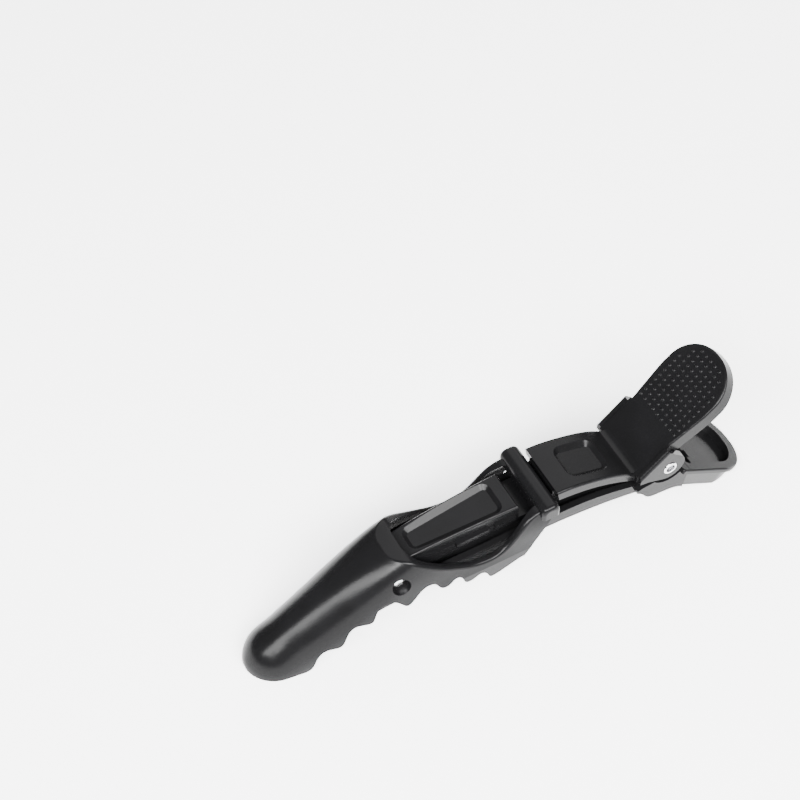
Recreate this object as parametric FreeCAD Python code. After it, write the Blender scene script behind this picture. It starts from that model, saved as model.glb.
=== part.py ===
import FreeCAD, Part
import math
import os

# Sectioning clip, millimetres. +X runs from the jaw's nose to the thumb levers, +Z is up and the clip
# is symmetric about the XZ plane. It stands on Z = 0 on the hood's nose and the end of the tail tray.

V = FreeCAD.Vector
os.makedirs("parts", exist_ok=True)

# ---- driving dimensions ----
LENGTH = 112.8               # nose tip to end of tail tray
NOSE_X = -LENGTH / 2
TAIL_X = LENGTH / 2
PIVOT_X, PIVOT_Z = 34.4, 15.1     # lever pivot axis, along Y
HINGE_X, HINGE_Z = -25.7, 15.6    # hood hinge axis, along Y
PIVOT_PIN_R = 1.5
HINGE_PIN_R = 1.6
PIVOT_PIN_HALF = 8.35
CUP_DEPTH = 1.7              # hollow in each end of the pivot pin
RUNNING = 0.05               # radial clearance of a running fit
BIG = 60.0                   # reach of cutting shapes, beyond every part

# hood
WALL = 1.25
HOOD_W = 8.45                # outer half width of the skirt
NOSE_LENGTH = 7.5            # length over which the nose rounds off in plan
BRIDGE_FRONT_X, BRIDGE_REAR_X = 4.4, 8.6
BRIDGE_TOP_Z, BRIDGE_BOTTOM_Z = 20.9, 17.6
SADDLE_Z = 16.3              # saddle floor under the bridge: the gap lets the hood rock by 2 degrees
HINGE_BOSS_R = 2.75          # boss round the hinge pin, inside the hood wall
HINGE_HOLE_R = 1.85          # open mouth of the hinge hole in the hood wall
HINGE_BOSS_IN = 3.7          # half width between the two bosses
HINGE_PIN_HALF = 6.3

# lever arm
SPINE_W = 4.4                # half width of the arm's spine
SPINE_NOSE_W = 3.4           # half width of the spine between the hinge bosses
SPINE_NOSE_R = 2.3           # radius of the spine's eye round the hinge pin
REAR_BLOCK_W = 6.2           # half width of the rear block
NECK_W = 8.1                 # half width over the pivot lugs
LUG_INNER_W = 6.75
LUG_R = 3.3
PAD_W = 8.0                  # half width of the thumb pad
PAD_LENGTH = 19.0
PAD_ANGLE = 42.0
PAD_THICK = 3.0
PAD_WALL = 2.2               # width of the pad's edge round its hollow underside
NECK_TOP = (34.2, 21.1)      # where the neck's sloping top meets the thumb pad
NECK_THICK = 1.4
RIDGE = 0.4                  # height of the lugs' edges above the neck

# lower jaw
RAIL_W = 6.8                 # outer half width of the trough
RAIL_WALL = 1.35
TRAY_ANGLE = 31.8
TRAY_W = 8.7
TRAY_DROP = 5.5              # height of the tray's side, square to its rim
TRAY_CORNER_R = 8.2
TRAY_FRONT_X, DISH_FRONT_X = 3.6, 5.6     # starts of the tray and of its dish, behind the pivot
DISH_EDGE, DISH_DEPTH = 2.1, 1.7          # width of the rim round the dish, and the dish's depth
RIM_THICK, RIM_OVERHANG = 1.0, 0.5        # the rim is a lip that stands proud of the tray's side
RIM_OFFSET = 0.5             # the rim's plane passes this far below the pivot
SIDE_DRAFT = 0.75            # the tray's side narrows by this towards its foot
SLOT_X, SLOT_W = 9.4, 6.4    # the spring leg's slot across the dish: place along the rim, half width
EAR_OUTER_W, EAR_INNER_W = 6.5, 5.1
EAR_R = 3.1

# spring
WIRE_R = 0.45
COIL_R = 2.35
COIL_TURNS = 4               # whole turns, before the part turn between the two legs
COIL_PITCH = 1.0
COIL_ROOM = 0.35             # room round the coil in the lower jaw
LEG_TURN_START, LEG_TURN_END = 125.0, 226.6
LOW_LEG, HIGH_LEG = 11.0, 10.0


# ---- helpers ----
def spline(points):
    """Smooth edge through points in the XZ plane."""
    curve = Part.BSplineCurve()
    curve.interpolate([V(x, 0, z) for x, z in points])
    return curve.toShape()


def polyline(points):
    return [Part.makeLine(V(a[0], 0, a[1]), V(b[0], 0, b[1])) for a, b in zip(points, points[1:])]


def slab(edges, y_low, y_high):
    """Solid between two Y planes whose side view is the closed outline made by edges."""
    face = Part.Face(Part.Wire(Part.sortEdges(edges)[0]))
    solid = face.extrude(V(0, y_high - y_low, 0))
    solid.translate(V(0, y_low, 0))
    return solid


def prism(points, y_low, y_high):
    """Slab with straight edges."""
    return slab(polyline(points + [points[0]]), y_low, y_high)


def prism_plan(points, z_low, z_high):
    """Upright prism over a plan outline (x, y)."""
    corners = [V(x, y, z_low) for x, y in points]
    face = Part.Face(Part.makePolygon(corners + [corners[0]]))
    return face.extrude(V(0, 0, z_high - z_low))


def rod(x, z, radius, y_low, y_high):
    return Part.makeCylinder(radius, y_high - y_low, V(x, y_low, z), V(0, 1, 0))


def both_sides(shape):
    return [shape, shape.mirror(V(0, 0, 0), V(0, 1, 0))]


def fuse(first, *rest):
    return first.fuse(list(rest)).removeSplitter()


def rounded_outline(outline, radius):
    """Closed wire of a plan outline (x, y) on Z = 0, with its corners rounded."""
    points = [V(x, y, 0) for x, y in outline]
    edges, starts, ends = [], [], []
    count = len(points)
    for i, corner in enumerate(points):
        before, after = points[i - 1], points[(i + 1) % count]
        r = radius[i] if isinstance(radius, (list, tuple)) else radius
        to_before = (before - corner).normalize()
        to_after = (after - corner).normalize()
        half = to_before.getAngle(to_after) / 2
        reach = r / math.tan(half)
        middle = (to_before + to_after).normalize()
        centre = corner + middle * (r / math.sin(half))
        a, b = corner + to_before * reach, corner + to_after * reach
        edges.append(Part.Arc(a, centre - middle * r, b).toShape())
        starts.append(a)
        ends.append(b)
    for i in range(count):
        a, b = ends[i], starts[(i + 1) % count]
        if (a - b).Length > 1e-6:
            edges.append(Part.makeLine(a, b))
    return Part.Wire(Part.sortEdges(edges)[0])


def rounded_plan(outline, radius, depth):
    """Prism of a plan outline (x, y), downward from Z = 0, with its corners rounded."""
    return Part.Face(rounded_outline(outline, radius)).extrude(V(0, 0, -depth))


def sloped_recess(outline, radius, depth, draft):
    """Cutting tool for a shallow panel whose walls lean outwards by draft over its depth."""
    floor = rounded_outline(outline, radius).makeOffset2D(-draft)
    floor.translate(V(0, 0, -depth))
    mouth = rounded_outline(outline, radius).makeOffset2D(draft)
    mouth.translate(V(0, 0, depth))
    return Part.makeLoft([mouth, floor], True, True)


def flared_plate(face, face_radius, foot, foot_radius, thick):
    """Plate with its face on Z = 0 and a wider foot below it."""
    bottom = rounded_outline(foot, foot_radius)
    bottom.translate(V(0, 0, -thick))
    return Part.makeLoft([rounded_outline(face, face_radius), bottom], True, True)


def tilted(shape, angle, x, z):
    """Turns a shape about Y so that its +X side drops by angle, then moves its origin to (x, z)."""
    out = shape.copy()
    out.Placement = FreeCAD.Placement(V(x, 0, z), FreeCAD.Rotation(V(0, 1, 0), angle))
    return out


def soften(shape, radius, wanted):
    """Rounds the edges that wanted() picks, one group, and keeps the sharp shape if that can't be done."""
    edges = [e for e in shape.Edges if wanted(e)]
    for r in (radius, radius * 0.7, radius * 0.45):
        try:
            out = shape.makeFillet(r, edges)
            if out.isValid() and out.Volume > 0:
                return out
        except Exception:
            pass
    print("not rounded:", len(edges), "edges", radius)
    return shape


# ---- hood ----
# Guide lines along X that shape the arch: (x, value)
NOSE_BASE = -0.7             # the nose's full width lies just below its flat foot
HALF_WIDTH = [(-48.9, 6.55), (-42.0, 7.3), (-34.0, 7.9), (-24.0, 8.35), (-12.0, HOOD_W), (10.0, HOOD_W)]
BASE = [(-48.9, NOSE_BASE), (-44.0, 1.2), (-36.0, 5.4), (-28.0, 9.0), (-20.0, 10.4), (-8.0, 10.4),
        (10.0, 10.4)]
CROWN = [(-48.9, 7.9), (-42.0, 12.0), (-34.0, 16.7), (-27.0, 20.1), (-22.0, 21.9), (-12.0, 23.2),
         (-2.0, 22.6), (10.0, 22.0)]
SQUARENESS = [(-48.9, 1.95), (-38.0, 2.1), (-30.0, 2.8), (-23.0, 4.0), (-8.0, 4.2), (10.0, 3.8)]
LEAN = [(-48.9, 0.0), (-38.0, 0.04), (-30.0, 0.12), (-23.0, 0.19), (-10.0, 0.2), (0.0, 0.08), (10.0, 0.0)]
ARCH_STEPS = 16
STATION_STEP = 3.0
ROOF_TILT = 1.17             # the roof's slope makes the wall this much thicker when measured upright


def follow(guide, x):
    """Height of a smooth line through the guide's points at x."""
    last = len(guide) - 1
    i = max(k for k in range(last) if x >= guide[k][0] - 1e-9)

    def slope(k):
        a, b = guide[max(k - 1, 0)], guide[min(k + 1, last)]
        return (b[1] - a[1]) / (b[0] - a[0])

    (x0, v0), (x1, v1) = guide[i], guide[i + 1]
    run = x1 - x0
    t = (x - x0) / run
    return ((2 * t ** 3 - 3 * t ** 2 + 1) * v0 + (t ** 3 - 2 * t ** 2 + t) * run * slope(i)
            + (3 * t ** 2 - 2 * t ** 3) * v1 + (t ** 3 - t ** 2) * run * slope(i + 1))


def arch_section(x, half_width, base, crown, squareness, lean):
    """Closed arch outline in a plane of constant X, with straight legs below its full width.

    lean is the share of the width that the sides lose on their way up to the crown.
    """
    low = -8.0
    arch = []
    for i in range(ARCH_STEPS + 1):
        t = math.pi * i / ARCH_STEPS
        c, s = math.cos(t), math.sin(t)
        rise = abs(s) ** (2 / squareness)
        y = half_width * math.copysign(abs(c) ** (2 / squareness), c) * (1 - lean * rise)
        arch.append(V(x, y, base + (crown - base) * rise))
    curve = Part.BSplineCurve()
    curve.interpolate(arch)
    right, left = V(x, half_width, low), V(x, -half_width, low)
    return Part.Wire([Part.makeLine(right, arch[0]), curve.toShape(),
                      Part.makeLine(arch[-1], left), Part.makeLine(left, right)])


def hood_form(inset):
    """Solid of the hood's outer form, drawn in by inset."""
    nose_end = NOSE_X + NOSE_LENGTH
    tip = NOSE_X + 1.2 * inset
    nose_run = nose_end - tip
    thick = inset * ROOF_TILT
    end_width = follow(HALF_WIDTH, nose_end) - inset
    wires = []
    for share in (0.008, 0.06, 0.17, 0.34, 0.6):
        x = tip + share * nose_run
        plan = math.sqrt(1 - (1 - share) ** 2)
        side = math.sqrt(1 - (1 - min(share * 2.2, 1.0)) ** 2)
        crown = (follow(CROWN, nose_end) - 0.58 * (nose_end - x) - thick) * side
        wires.append(arch_section(x, end_width * plan, NOSE_BASE, crown, 2.0, 0.0))
    x = nose_end
    while x <= 9.9:
        wires.append(arch_section(x, follow(HALF_WIDTH, x) - inset, follow(BASE, x),
                                  follow(CROWN, x) - thick, follow(SQUARENESS, x), follow(LEAN, x)))
        x += STATION_STEP
    return Part.makeLoft(wires, True, False)


def skirt_outline():
    """Lower edge of the hood: flat nose, four deep waves, three small teeth, then the rear corner."""
    waves = spline([
        (-46.6, 0.0), (-45.4, 0.5), (-44.0, 3.1), (-41.7, 4.8), (-39.1, 4.7), (-37.5, 7.4),
        (-35.2, 9.1), (-32.5, 8.8), (-31.1, 11.4), (-29.1, 12.6), (-27.4, 12.3), (-24.9, 9.9),
        (-22.8, 11.5), (-20.6, 13.0), (-19.0, 12.7), (-17.5, 10.7), (-16.1, 10.5), (-14.1, 11.5),
        (-13.3, 11.1), (-12.1, 8.7), (-10.8, 8.5), (-8.7, 9.3), (-7.9, 8.9), (-6.5, 6.6), (-5.0, 6.7),
        (-1.6, 7.9), (0.9, 8.6),
    ])
    below = polyline([(0.9, 8.6), (0.9, -BIG), (-BIG - 20, -BIG), (-BIG - 20, 0.0), (-46.6, 0.0)])
    return [waves] + below


def window_outline():
    """Side view of what the open top removes, in front of the bridge."""
    scoop = spline([(-29.0, 20.7), (-25.0, 20.4), (-22.9, 20.1), (-21.6, 19.3), (-18.9, 17.4),
                    (-16.4, 15.8), (-13.5, 14.3), (-10.9, 13.1), (-7.4, 12.4), (-4.6, 12.8),
                    (-2.3, 14.4), (0.0, 17.0), (2.2, 18.9), (BRIDGE_FRONT_X, 19.6)])
    above = polyline([(BRIDGE_FRONT_X, 19.6), (BRIDGE_FRONT_X, BIG), (-29.0, BIG), (-29.0, 20.7)])
    return [scoop] + above


def on_window_edge(edge):
    """True for the outer edge of the hood's open top."""
    box = edge.BoundBox
    points = edge.discretize(9)
    return box.XLength > 15.0 and box.ZMin > 11.8 and box.XMin > -30.0 and max(q.y for q in points) > 7.6


def make_hood():
    shell = hood_form(0.0).cut(hood_form(WALL))
    shell = shell.cut(slab(skirt_outline(), -20, 20))
    shell = shell.cut(slab(window_outline(), -20, 20))
    rear = prism([(BRIDGE_REAR_X + 0.2, BIG), (BRIDGE_REAR_X + 0.2, 20.0), (0.9, 8.4), (0.9, -BIG),
                  (BIG, -BIG), (BIG, BIG)], -20, 20)
    roof = prism([(BRIDGE_FRONT_X - 0.5, 19.6), (BRIDGE_FRONT_X - 0.5, BIG), (BIG, BIG), (BIG, 19.6)],
                 -20, 20)
    shell = shell.cut([rear, roof])
    shell = soften(shell, 0.7, on_window_edge)
    round_r = 1.7
    shoulder = BRIDGE_TOP_Z - round_r
    bend = round_r * (1 - math.sqrt(0.5))
    bar_edges = polyline([(BRIDGE_FRONT_X, shoulder), (BRIDGE_FRONT_X, BRIDGE_BOTTOM_Z),
                          (BRIDGE_REAR_X, BRIDGE_BOTTOM_Z), (BRIDGE_REAR_X, shoulder)])
    bar_edges.append(Part.makeLine(V(BRIDGE_FRONT_X + round_r, 0, BRIDGE_TOP_Z),
                                   V(BRIDGE_REAR_X - round_r, 0, BRIDGE_TOP_Z)))
    for corner, side in ((BRIDGE_FRONT_X, 1), (BRIDGE_REAR_X, -1)):
        bar_edges.append(Part.Arc(V(corner, 0, shoulder), V(corner + side * bend, 0, BRIDGE_TOP_Z - bend),
                                  V(corner + side * round_r, 0, BRIDGE_TOP_Z)).toShape())
    bar = slab(bar_edges, -HOOD_W, HOOD_W)
    bar = soften(bar, 0.9, lambda e: e.BoundBox.YLength < 0.01 and e.BoundBox.ZMax > BRIDGE_BOTTOM_Z + 0.1)
    hood = shell.fuse(bar)
    boss = rod(HINGE_X, HINGE_Z, HINGE_BOSS_R, HINGE_BOSS_IN, 8.0).common(hood_form(0.4))
    hood = hood.fuse(both_sides(boss))
    bore = rod(HINGE_X, HINGE_Z, HINGE_PIN_R + RUNNING, -12, 12)
    mouth = rod(HINGE_X, HINGE_Z, HINGE_HOLE_R, HINGE_PIN_HALF + 0.1, 12)
    hood = hood.cut([bore] + both_sides(mouth))
    return hood.removeSplitter()


# ---- lever arm ----
def make_front_block():
    side = slab([spline([(-24.6, 18.0), (-18.0, 18.9), (-10.0, 19.7), (1.4, 20.1)])]
                + polyline([(1.4, 20.1), (1.4, 15.1), (-24.6, 15.1), (-24.6, 18.0)]), -10, 10)
    plan = Part.Face(Part.makePolygon([V(-24.6, -3.4, 10), V(1.4, -4.5, 10), V(1.4, 4.5, 10),
                                       V(-24.6, 3.4, 10), V(-24.6, -3.4, 10)])).extrude(V(0, 0, 20))
    block = side.common(plan)
    block = soften(block, 0.5, lambda e: e.BoundBox.ZMin > 17.5)
    ledge = prism([(-12.5, 16.4), (-5.4, 16.7), (-5.4, 17.7), (-12.5, 17.4)], -4.95, 4.95)
    rear_ledge = prism([(-4.0, 16.7), (0.6, 16.9), (0.6, 17.9), (-4.0, 17.7)], -4.95, 4.95)
    block = fuse(block, ledge, rear_ledge)
    recess = sloped_recess([(-21.0, -2.5), (-1.3, -3.65), (-1.3, 3.65), (-21.0, 2.5)], 1.6, 0.65, 0.8)
    return block.cut(tilted(recess, -4.6, 0.0, 20.15))


def make_arm():
    block = make_front_block()
    spine = slab([spline([(-29.0, 15.2), (-24.0, 14.4), (-10.0, 15.0), (5.0, 15.1), (16.0, 14.6),
                          (27.0, 12.9)])]
                 + polyline([(27.0, 12.9), (27.5, 14.5), (9.0, 20.0), (9.0, SADDLE_Z), (1.4, SADDLE_Z),
                             (1.4, 17.3), (-24.0, 17.3), (-29.0, 15.8), (-29.0, 15.2)]),
                 -SPINE_W, SPINE_W)
    taper = [prism_plan([(-30.0, side * SPINE_NOSE_W), (-22.0, side * SPINE_NOSE_W),
                         (-16.0, side * (SPINE_W + 0.1)), (-30.0, side * (SPINE_W + 0.1))], 0.0, 25.0)
             for side in (-1, 1)]
    spine = spine.cut(taper)
    nose = rod(HINGE_X, HINGE_Z, SPINE_NOSE_R, -SPINE_NOSE_W, SPINE_NOSE_W)
    rear_block = slab([spline([(9.0, 21.3), (12.5, 21.0), (16.5, 20.1), (21.0, 18.7), (24.5, 17.1),
                               (27.4, 15.0)]),
                       spline([(9.5, 18.8), (14.2, 18.2), (18.9, 17.0), (24.0, 14.9), (27.4, 13.1)])]
                      + polyline([(27.4, 15.0), (27.4, 13.1)]) + polyline([(9.5, 18.8), (9.0, 21.3)]),
                      -REAR_BLOCK_W, REAR_BLOCK_W)
    rear_block = soften(rear_block, 0.5, lambda e: e.BoundBox.YLength < 0.1
                        and e.BoundBox.ZMax > 20 and e.BoundBox.XLength > 5)
    panel = sloped_recess([(14.0, -3.7), (23.8, -3.7), (23.8, 3.7), (14.0, 3.7)], 1.8, 0.65, 0.8)
    rear_block = rear_block.cut(tilted(panel, 17.0, 0.0, 24.85))
    dirx, dirz = math.cos(math.radians(PAD_ANGLE)), math.sin(math.radians(PAD_ANGLE))
    top_x, top_z = NECK_TOP
    foot = (27.4, top_z - (top_x - 27.4) * dirz / dirx)
    under = (top_x + NECK_THICK * dirz, top_z - NECK_THICK * dirx)
    neck = slab(polyline([foot, NECK_TOP, under, (31.6, 16.9), (27.9, 13.3), (27.4, 13.3), foot]),
                -LUG_INNER_W - 0.2, LUG_INNER_W + 0.2)
    valley = slab([spline([(25.5, 16.40), (27.1, 15.60), (28.6, 16.10)])]
                  + polyline([(28.6, 16.10), (28.2, 14.0), (25.9, 14.3), (25.5, 16.40)]),
                  -REAR_BLOCK_W + 0.4, REAR_BLOCK_W - 0.4)
    lug_top = (top_x - 0.6 + RIDGE * -dirz, top_z - 0.54 + RIDGE * dirx)
    lug_foot = (foot[0] + 0.2, foot[1] + RIDGE)
    lug_edges = polyline([lug_foot, lug_top, (37.2, 17.3)])
    lug_edges.append(Part.Arc(V(37.2, 0, 17.3), V(PIVOT_X + 1.9, 0, PIVOT_Z - 2.75),
                              V(PIVOT_X - 1.0, 0, PIVOT_Z - 3.2)).toShape())
    lug_edges += polyline([(PIVOT_X - 1.0, PIVOT_Z - 3.2), (29.6, 13.3), (lug_foot[0], 13.6), lug_foot])
    lug = slab(lug_edges, LUG_INNER_W, NECK_W)
    lug = soften(lug, 0.7, lambda e: e.BoundBox.YMin > NECK_W - 0.01 and e.BoundBox.ZMax > lug_top[1] - 0.1
                 and e.BoundBox.ZMin < lug_foot[1] + 0.1)
    start = -0.6
    upper, tip = PAD_W - 0.3, PAD_LENGTH
    face = [(start, -6.7), (9.0, -upper), (tip, -upper), (tip, upper), (9.0, upper), (start, 6.7)]
    foot_edge = [(start, -7.0), (9.0, -PAD_W), (tip - 0.1, -PAD_W), (tip - 0.1, PAD_W), (9.0, PAD_W),
                 (start, 7.0)]
    pad = flared_plate(face, [0.3, 8.0, 7.4, 7.4, 8.0, 0.3], foot_edge, [0.3, 8.0, 7.7, 7.7, 8.0, 0.3],
                       PAD_THICK)
    pad = soften(pad, 0.6, lambda e: e.BoundBox.ZMin > -0.01 and e.BoundBox.XMax > 1.0)
    inside, hollow_end = PAD_W - PAD_WALL, PAD_LENGTH - PAD_WALL
    hollow = rounded_plan([(start - 0.1, -inside), (hollow_end, -inside), (hollow_end, inside),
                           (start - 0.1, inside)], [0.3, 5.6, 5.6, 0.3], PAD_THICK)
    hollow.translate(V(0, 0, -NECK_THICK))
    pad = tilted(pad.cut(hollow), -PAD_ANGLE, top_x, top_z)
    arm = fuse(spine, block, nose, rear_block, valley, neck, pad, *both_sides(lug))
    arm = arm.cut([rod(PIVOT_X, PIVOT_Z, PIVOT_PIN_R, -12, 12),
                   rod(HINGE_X, HINGE_Z, HINGE_PIN_R, -12, 12)])
    return arm.removeSplitter()


# ---- lower jaw ----
def make_jaw():
    top = [(-50.6, 3.2), (-46.0, 4.0), (-40.0, 7.0), (-33.0, 10.3), (-26.0, 12.5), (-20.0, 13.9),
           (-14.0, 14.1), (-4.0, 14.2), (7.0, 15.0), (14.0, 14.9), (20.0, 14.0), (25.0, 12.7),
           (28.6, 11.6)]
    bottom = [(-51.6, 0.5), (-46.0, 1.4), (-40.0, 4.3), (-33.0, 7.4), (-26.0, 9.3), (-16.0, 10.6),
              (-4.0, 11.3), (7.0, 12.1), (14.0, 11.7), (20.0, 11.0), (25.0, 10.1), (28.6, 9.3)]
    outer = slab([spline(top), spline(bottom)] + polyline([top[0], bottom[0]])
                 + polyline([top[-1], bottom[-1]]), -10, 10)
    plan_points = [(-52.0, 2.2), (-50.2, 3.8), (-46.0, 4.7), (-34.0, 5.6), (-24.0, 6.25), (-20.0, 6.42),
                   (-10.0, 6.5), (-2.0, 6.55), (6.0, RAIL_W), (28.6, RAIL_W)]
    plan = Part.Face(Part.makePolygon([V(x, -y, -5) for x, y in plan_points]
                                      + [V(x, y, -5) for x, y in reversed(plan_points)]
                                      + [V(plan_points[0][0], -plan_points[0][1], -5)]))
    trough = outer.common(plan.extrude(V(0, 0, 40)))
    inner_points = [(x + (1.5 if i == 0 else 0), y - RAIL_WALL) for i, (x, y) in enumerate(plan_points)]
    hollow_plan = Part.Face(Part.makePolygon([V(x, -y, -5) for x, y in inner_points]
                                             + [V(x, y, -5) for x, y in reversed(inner_points)]
                                             + [V(inner_points[0][0], -inner_points[0][1], -5)]))
    floor_line = [(x, z + 1.3) for x, z in bottom]
    above_floor = slab([spline(floor_line)]
                       + polyline([floor_line[-1], (floor_line[-1][0], BIG), (floor_line[0][0], BIG),
                                   floor_line[0]]), -10, 10)
    trough = trough.cut(above_floor.common(hollow_plan.extrude(V(0, 0, 60))))

    house = slab([spline([(27.2, 10.9), (28.5, 9.8), (30.2, 7.8), (32.4, 7.3), (35.0, 7.1),
                          (38.6, 5.7)])]
                 + polyline([(38.6, 5.7), (39.6, 11.3), (36.0, 13.2), (32.0, 12.4), (28.4, 12.0),
                             (27.2, 11.6), (27.2, 10.9)]), -NECK_W, NECK_W)
    ear_edges = [Part.Arc(V(PIVOT_X - EAR_R, 0, PIVOT_Z), V(PIVOT_X, 0, PIVOT_Z + EAR_R),
                          V(PIVOT_X + EAR_R, 0, PIVOT_Z)).toShape()]
    ear_edges += polyline([(PIVOT_X + EAR_R, PIVOT_Z), (PIVOT_X + EAR_R, 10.0),
                           (PIVOT_X - EAR_R, 10.0), (PIVOT_X - EAR_R, PIVOT_Z)])
    ear = slab(ear_edges, EAR_INNER_W, EAR_OUTER_W)

    along = 1 / math.cos(math.radians(TRAY_ANGLE))
    rim_z = PIVOT_Z - RIM_OFFSET * along
    start, end = TRAY_FRONT_X * along, (TAIL_X - PIVOT_X) * along
    corner = TRAY_CORNER_R
    rim = rounded_plan([(start, -TRAY_W), (end, -TRAY_W), (end, TRAY_W), (start, TRAY_W)],
                       [0.5, corner, corner, 0.5], RIM_THICK)
    rim = soften(rim, 0.35, lambda e: e.BoundBox.ZMin > -0.01)
    high, low = TRAY_W - RIM_OVERHANG, TRAY_W - RIM_OVERHANG - SIDE_DRAFT
    skirt_end = end - RIM_OVERHANG - 0.1
    skirt = flared_plate([(start, -high), (skirt_end, -high), (skirt_end, high), (start, high)],
                         [0.5, corner - RIM_OVERHANG, corner - RIM_OVERHANG, 0.5],
                         [(start, -low), (skirt_end, -low), (skirt_end, low), (start, low)],
                         [0.5, corner - 1.2, corner - 1.2, 0.5], TRAY_DROP)
    tray = tilted(rim.fuse(skirt), TRAY_ANGLE, PIVOT_X, rim_z)
    dish_w, dish_start, dish_end = TRAY_W - DISH_EDGE, DISH_FRONT_X * along, end - DISH_EDGE - 0.2
    dish = rounded_plan([(dish_start, -dish_w), (dish_end, -dish_w),
                         (dish_end, dish_w), (dish_start, dish_w)],
                        [1.0, corner - DISH_EDGE, corner - DISH_EDGE, 1.0], DISH_DEPTH)
    below_ground = Part.makeBox(200, 200, 50, V(-100, -100, -50))
    tray = tray.cut([tilted(dish, TRAY_ANGLE, PIVOT_X, rim_z), below_ground])
    jaw = trough.fuse([house, tray] + both_sides(ear))
    pocket = rod(PIVOT_X, PIVOT_Z, COIL_R + WIRE_R + COIL_ROOM, -EAR_INNER_W, EAR_INNER_W)
    swing = rod(PIVOT_X, PIVOT_Z, LUG_R + 1.0, EAR_OUTER_W, 20)
    slot = tilted(Part.makeBox(1.4, 2 * SLOT_W, 12.0, V(SLOT_X, -SLOT_W, -10.5)),
                  TRAY_ANGLE, PIVOT_X, rim_z)
    channel = tilted(Part.makeBox(12.0, 2.0, 5.0, V(0, -3.4, -COIL_R - WIRE_R - COIL_ROOM)),
                     LEG_TURN_START - 90, PIVOT_X, PIVOT_Z)
    bore = rod(PIVOT_X, PIVOT_Z, PIVOT_PIN_R + RUNNING, -12, 12)
    return jaw.cut([pocket, slot, channel] + both_sides(swing)).cut(bore).removeSplitter()


# ---- steel parts ----
def make_pivot_pin():
    pin = rod(PIVOT_X, PIVOT_Z, PIVOT_PIN_R, -PIVOT_PIN_HALF, PIVOT_PIN_HALF)
    pin = soften(pin, 0.2, lambda e: e.BoundBox.YLength < 0.01)
    cup = rod(PIVOT_X, PIVOT_Z, PIVOT_PIN_R - 0.5, PIVOT_PIN_HALF - CUP_DEPTH, PIVOT_PIN_HALF + 1)
    return pin.cut(both_sides(cup))


def make_hinge_pin():
    pin = rod(HINGE_X, HINGE_Z, HINGE_PIN_R, -HINGE_PIN_HALF, HINGE_PIN_HALF)
    return soften(pin, 1.0, lambda e: e.BoundBox.YLength < 0.01)


def make_spring():
    """Close coil round the pivot pin, one leg under the thumb pad and one in the tray's channel."""
    turns = COIL_TURNS + (LEG_TURN_END - LEG_TURN_START) / 360.0
    length = turns * COIL_PITCH
    helix = Part.makeHelix(COIL_PITCH, length, COIL_R)
    rise = COIL_PITCH / (2 * math.pi * COIL_R)
    circle = Part.Wire(Part.makeCircle(WIRE_R, V(COIL_R, 0, 0), V(0, 1, rise)))
    coil = Part.Wire(helix).makePipeShell([circle], True, True)
    end_angle = math.radians(360.0 * (turns - COIL_TURNS))
    end = V(COIL_R * math.cos(end_angle), COIL_R * math.sin(end_angle), length)
    leg_low = Part.makeCylinder(WIRE_R, LOW_LEG, V(COIL_R, 0, 0), V(0, -1, -rise))
    leg_high = Part.makeCylinder(WIRE_R, HIGH_LEG, end,
                                 V(-math.sin(end_angle), math.cos(end_angle), rise))
    knuckles = [Part.makeSphere(WIRE_R, V(COIL_R, 0, 0)), Part.makeSphere(WIRE_R, end)]
    spring = coil.fuse([leg_low, leg_high] + knuckles)
    spring.rotate(V(0, 0, 0), V(0, 0, 1), LEG_TURN_START)
    spring.translate(V(0, 0, -length / 2))
    spring.rotate(V(0, 0, 0), V(1, 0, 0), -90)
    spring.translate(V(PIVOT_X, 0, PIVOT_Z))
    return spring


def main():
    nodes = {
        "jaw_hood": make_hood(),
        "lever_arm": make_arm(),
        "lower_jaw": make_jaw(),
        "pivot_pin": make_pivot_pin(),
        "hood_hinge_pin": make_hinge_pin(),
        "torsion_spring": make_spring(),
    }
    for name, shape in nodes.items():
        box = shape.BoundBox
        print(name, "solids", len(shape.Solids), "valid", shape.isValid(), "volume %.1f" % shape.Volume,
              "x %.2f..%.2f y %.2f..%.2f z %.2f..%.2f" % (box.XMin, box.XMax, box.YMin, box.YMax,
                                                       box.ZMin, box.ZMax))
        shape.exportStep("parts/" + name + ".step")


main()
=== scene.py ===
import bpy
import math
from mathutils import Matrix, Vector


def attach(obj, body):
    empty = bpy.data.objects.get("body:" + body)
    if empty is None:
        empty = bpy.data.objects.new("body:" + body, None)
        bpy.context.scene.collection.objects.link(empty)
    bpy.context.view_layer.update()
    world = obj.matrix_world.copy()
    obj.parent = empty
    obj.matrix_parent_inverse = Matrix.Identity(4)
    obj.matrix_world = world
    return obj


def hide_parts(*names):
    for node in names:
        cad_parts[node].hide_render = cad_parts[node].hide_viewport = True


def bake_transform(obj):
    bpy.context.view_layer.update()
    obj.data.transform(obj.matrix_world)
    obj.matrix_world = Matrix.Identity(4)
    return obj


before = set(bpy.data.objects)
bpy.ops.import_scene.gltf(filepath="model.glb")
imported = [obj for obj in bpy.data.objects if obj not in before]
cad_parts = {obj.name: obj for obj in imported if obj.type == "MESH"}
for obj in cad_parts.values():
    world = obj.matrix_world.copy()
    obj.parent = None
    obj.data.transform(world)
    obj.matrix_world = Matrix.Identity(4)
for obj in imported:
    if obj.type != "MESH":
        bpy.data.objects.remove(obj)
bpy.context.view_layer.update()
MM = 0.001
ACROSS = Vector((0, 1, 0))
UPWARD = Vector((0, 0, 1))


# ---- materials ----
def new_material(name):
    material = bpy.data.materials.new(name)
    material.use_nodes = True
    tree = material.node_tree
    return material, tree, tree.nodes["Principled BSDF"]


def node(tree, kind, values):
    """New node with the given values on its inputs."""
    made = tree.nodes.new(kind)
    for key, value in values.items():
        made.inputs[key].default_value = value
    return made


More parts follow.
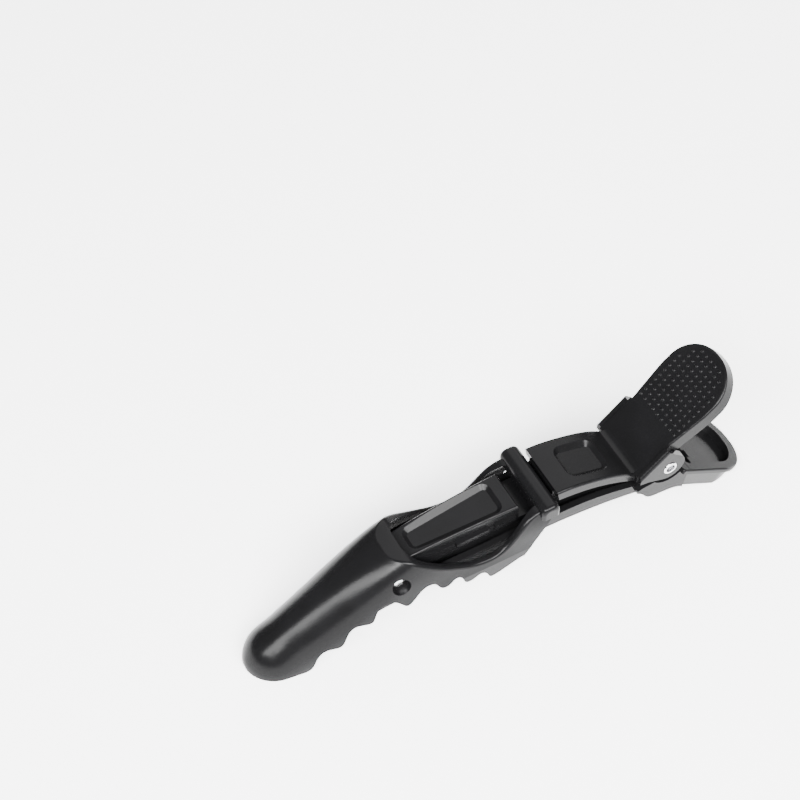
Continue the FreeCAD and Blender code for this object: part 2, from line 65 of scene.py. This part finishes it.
def noise(tree, scale, detail, roughness):
    """Output of a noise over the piece's own coordinates, in metres."""
    place = node(tree, "ShaderNodeTexCoord", {})
    made = node(tree, "ShaderNodeTexNoise", {"Scale": scale, "Detail": detail, "Roughness": roughness})
    tree.links.new(place.outputs["Object"], made.inputs["Vector"])
    return made.outputs["Fac"]


def vary_colour(tree, shader, source, dark, light, start=0.0, end=1.0):
    """Base colour between dark and light, as source goes from start to end."""
    ramp = node(tree, "ShaderNodeValToRGB", {})
    for stop, position, colour in zip(ramp.color_ramp.elements, (start, end), (dark, light)):
        stop.position = position
        stop.color = (*colour, 1)
    tree.links.new(source, ramp.inputs["Fac"])
    tree.links.new(ramp.outputs["Color"], shader.inputs["Base Color"])


def vary_roughness(tree, shader, source, low, high):
    spread = node(tree, "ShaderNodeMapRange", {"To Min": low, "To Max": high})
    tree.links.new(source, spread.inputs["Value"])
    tree.links.new(spread.outputs["Result"], shader.inputs["Roughness"])


def moulded_plastic(name, tone, rough, grain):
    """Black moulded plastic: satin, with a fine spark-eroded texture and faint flow variation."""
    material, tree, shader = new_material(name)
    shader.inputs["IOR"].default_value = 1.5
    shader.inputs["Specular IOR Level"].default_value = 0.1
    flow = noise(tree, 90.0, 3.0, 0.55)
    vary_colour(tree, shader, flow, (tone * 0.86, tone * 0.86, tone * 0.9),
                (tone * 1.14, tone * 1.13, tone * 1.22), 0.3, 0.7)
    vary_roughness(tree, shader, flow, rough - 0.05, rough + 0.05)
    bump = node(tree, "ShaderNodeBump", {"Strength": grain, "Distance": 0.02 * MM})
    tree.links.new(noise(tree, 5200.0, 2.0, 0.6), bump.inputs["Height"])
    tree.links.new(bump.outputs["Normal"], shader.inputs["Normal"])
    return material


def steel(name, tone, rough):
    """Bright drawn steel, slightly uneven in tone and roughness."""
    material, tree, shader = new_material(name)
    shader.inputs["Metallic"].default_value = 1.0
    uneven = noise(tree, 900.0, 4.0, 0.6)
    vary_colour(tree, shader, uneven, (tone * 0.85, tone * 0.85, tone * 0.87), (tone, tone, tone * 1.01))
    vary_roughness(tree, shader, uneven, rough - 0.06, rough + 0.08)
    return material


PLASTIC = moulded_plastic("black_plastic", 0.0045, 0.23, 0.45)
PIN = steel("pin_steel", 0.75, 0.2)
WIRE = steel("spring_steel", 0.6, 0.26)
FINISH = {"jaw_hood": PLASTIC, "lever_arm": PLASTIC, "lower_jaw": PLASTIC, "pivot_pin": PIN,
          "hood_hinge_pin": PIN, "torsion_spring": WIRE}

for name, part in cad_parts.items():
    part.data.materials.clear()
    part.data.materials.append(FINISH[name])


# ---- mesh helpers ----
def new_piece(name, vertices, faces, material):
    mesh = bpy.data.meshes.new(name)
    mesh.from_pydata(vertices, [], faces)
    mesh.materials.append(material)
    mesh.shade_smooth()
    piece = bpy.data.objects.new(name, mesh)
    bpy.context.scene.collection.objects.link(piece)
    return piece


def ring(centre, side, rise, radius, count):
    """Points of a circle in the plane of side and rise."""
    turns = [2 * math.pi * k / count for k in range(count)]
    return [centre + side * math.cos(turn) * radius + rise * math.sin(turn) * radius for turn in turns]


def band(first, rings, count):
    """Faces between rings of count points, where first is the number of the first point."""
    faces = []
    for i in range(rings - 1):
        for k in range(count):
            a = first + i * count + k
            b = first + i * count + (k + 1) % count
            faces.append((a, a + count, b + count, b))
    return faces


# ---- thumb pad: raised dots in straight rows over its sloping face ----
PAD_ANGLE = math.radians(42.0)
PAD_FOOT = Vector((34.2, 0, 21.1)) * MM
PAD_ALONG = Vector((math.cos(PAD_ANGLE), 0, math.sin(PAD_ANGLE)))
PAD_OUT = Vector((-PAD_ALONG.z, 0, PAD_ALONG.x))
DOT_ROWS, DOT_COLUMNS = 12, 9
FIRST_ROW = 2.1 * MM                                    # distance from the pad's foot
DOT_STEP_ALONG, DOT_STEP_ACROSS = 1.36 * MM, 1.46 * MM
FIELD_ROUND_FROM, FIELD_ROUND_R = 11.3 * MM, 6.55 * MM    # the field of dots ends in a half circle
DOT_R, DOT_RISE, DOT_SIDES = 0.40 * MM, 0.26 * MM, 14
DOT_RINGS = ((1.0, -0.25), (0.97, 0.12), (0.82, 0.52), (0.5, 0.86))    # shares of radius and rise


def pad_dots():
    vertices, faces = [], []
    for row in range(DOT_ROWS):
        for column in range(DOT_COLUMNS):
            along = FIRST_ROW + DOT_STEP_ALONG * row
            across = DOT_STEP_ACROSS * (column - DOT_COLUMNS // 2)
            past_round = along - FIELD_ROUND_FROM
            if past_round > 0 and math.hypot(past_round, across) > FIELD_ROUND_R:
                continue
            base = PAD_FOOT + PAD_ALONG * along + ACROSS * across
            first = len(vertices)
            for radius, rise in DOT_RINGS:
                centre = base + PAD_OUT * rise * DOT_RISE
                vertices += ring(centre, PAD_ALONG, ACROSS, radius * DOT_R, DOT_SIDES)
            top = len(vertices)
            vertices.append(base + PAD_OUT * DOT_RISE)
            faces += band(first, len(DOT_RINGS), DOT_SIDES)
            last_ring = top - DOT_SIDES
            faces += [(last_ring + k, top, last_ring + (k + 1) % DOT_SIDES) for k in range(DOT_SIDES)]
    piece = new_piece("pad_dots", vertices, faces, PLASTIC)
    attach(piece, "lever")


# ---- torsion spring: close coil round the pivot pin, one leg in the jaw and one under the pad ----
PIVOT = Vector((34.4, 0, 15.1)) * MM
COIL_R, WIRE_R, COIL_PITCH = 2.35 * MM, 0.45 * MM, 1.0 * MM
LEG_START, LEG_END, COIL_TURNS = math.radians(125.0), math.radians(226.6), 4
LOW_LEG, HIGH_LEG = 11.0 * MM, 10.0 * MM
LEG_SHARES = (0.25, 0.5, 0.75, 0.97, 1.0)    # stations along a leg, away from the coil
WIRE_SIDES, STEPS_PER_TURN = 20, 48
TIP_SHARE = 0.72                             # the wire's cut ends are rounded down to this


def spring_path():
    turn_angle = COIL_TURNS * 2 * math.pi + LEG_END - LEG_START
    length = COIL_PITCH * turn_angle / (2 * math.pi)
    steps = round(STEPS_PER_TURN * turn_angle / (2 * math.pi))
    coil = []
    for i in range(steps + 1):
        angle = LEG_START + turn_angle * i / steps
        coil.append(PIVOT + Vector((math.cos(angle) * COIL_R, length * (i / steps - 0.5),
                                    -math.sin(angle) * COIL_R)))
    low = Vector((math.sin(LEG_START), 0, math.cos(LEG_START)))
    high = Vector((-math.sin(LEG_END), 0, -math.cos(LEG_END)))
    low_leg = [coil[0] + low * LOW_LEG * share for share in reversed(LEG_SHARES)]
    high_leg = [coil[-1] + high * HIGH_LEG * share for share in LEG_SHARES]
    return low_leg + coil + high_leg


def torsion_spring():
    path = spring_path()
    last = len(path) - 1
    vertices = []
    for i, spot in enumerate(path):
        ahead = (path[min(i + 1, last)] - path[max(i - 1, 0)]).normalized()
        side = ahead.cross(ACROSS).normalized()
        rise = side.cross(ahead).normalized()
        vertices += ring(spot, side, rise, WIRE_R * (TIP_SHARE if i in (0, last) else 1.0), WIRE_SIDES)
    faces = band(0, len(path), WIRE_SIDES)
    faces.append(tuple(range(WIRE_SIDES)))
    faces.append(tuple(reversed(range(last * WIRE_SIDES, len(vertices)))))
    piece = new_piece("spring_wire", vertices, faces, WIRE)
    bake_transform(piece)
    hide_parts("torsion_spring")


pad_dots()
torsion_spring()


# ---- studio ----
FLOOR_HALF = 6.0
FLOOR_TONE, FLOOR_GLOW = (0.93, 0.93, 0.93, 1), 1.9
STRIP_DISTANCE, STRIP_SIZE, STRIP_POWER = 0.9, (0.62, 0.3), 19.0
STRIPS = {"strip_left": (-150, 43), "strip_front": (-110, 47), "strip_right": (-68, 44)}
OVERHEAD_SIZE, OVERHEAD_POWER = (1.1, 1.1), 11.0
CAMERA_AZIMUTH, CAMERA_ELEVATION = -118.57, 52.90
CAMERA_DISTANCE, CAMERA_TARGET = 0.38935, Vector((0.87, 42.38, 0)) * MM


def toward(azimuth, elevation, distance):
    """Place at an angle and a distance from the origin."""
    a, e = math.radians(azimuth), math.radians(elevation)
    return Vector((math.cos(a) * math.cos(e), math.sin(a) * math.cos(e), math.sin(e))) * distance


def floor():
    mesh = bpy.data.meshes.new("floor")
    s = FLOOR_HALF
    mesh.from_pydata([(-s, -s, 0), (s, -s, 0), (s, s, 0), (-s, s, 0)], [], [(0, 1, 2, 3)])
    plane = bpy.data.objects.new("floor", mesh)
    bpy.context.scene.collection.objects.link(plane)
    material, _, shader = new_material("floor_paper")
    shader.inputs["Base Color"].default_value = FLOOR_TONE
    shader.inputs["Roughness"].default_value = 0.9
    shader.inputs["Emission Color"].default_value = (1.0, 1.0, 1.0, 1)
    shader.inputs["Emission Strength"].default_value = FLOOR_GLOW
    mesh.materials.append(material)


def surround():
    world = bpy.data.worlds.new("studio")
    bpy.context.scene.world = world
    world.use_nodes = True
    background = world.node_tree.nodes["Background"]
    background.inputs["Color"].default_value = (0.8, 0.8, 0.82, 1)
    background.inputs["Strength"].default_value = 0.3


def soft_light(name, place, size, power):
    """Rectangular lamp that faces the origin."""
    data = bpy.data.lights.new(name, "AREA")
    data.shape = "RECTANGLE"
    data.size, data.size_y = size
    data.energy = power
    lamp = bpy.data.objects.new(name, data)
    bpy.context.scene.collection.objects.link(lamp)
    lamp.rotation_euler = (-place).to_track_quat("-Z", "Y").to_euler()
    lamp.location = place


def aim_camera():
    data = bpy.data.cameras.new("camera")
    data.lens = 81.69
    data.sensor_width = 36.0
    data.clip_start = 0.01
    camera = bpy.data.objects.new("camera", data)
    bpy.context.scene.collection.objects.link(camera)
    forward = -toward(CAMERA_AZIMUTH, CAMERA_ELEVATION, 1.0)
    right = forward.cross(UPWARD).normalized()
    up = right.cross(forward)
    turn = Matrix((right, up, -forward)).transposed().to_4x4()
    camera.matrix_world = Matrix.Translation(CAMERA_TARGET - forward * CAMERA_DISTANCE) @ turn
    bpy.context.scene.camera = camera


floor()
surround()
for name, (azimuth, elevation) in STRIPS.items():
    soft_light(name, toward(azimuth, elevation, STRIP_DISTANCE), STRIP_SIZE, STRIP_POWER)
soft_light("overhead", toward(55, 44, 1.3), OVERHEAD_SIZE, OVERHEAD_POWER)
aim_camera()
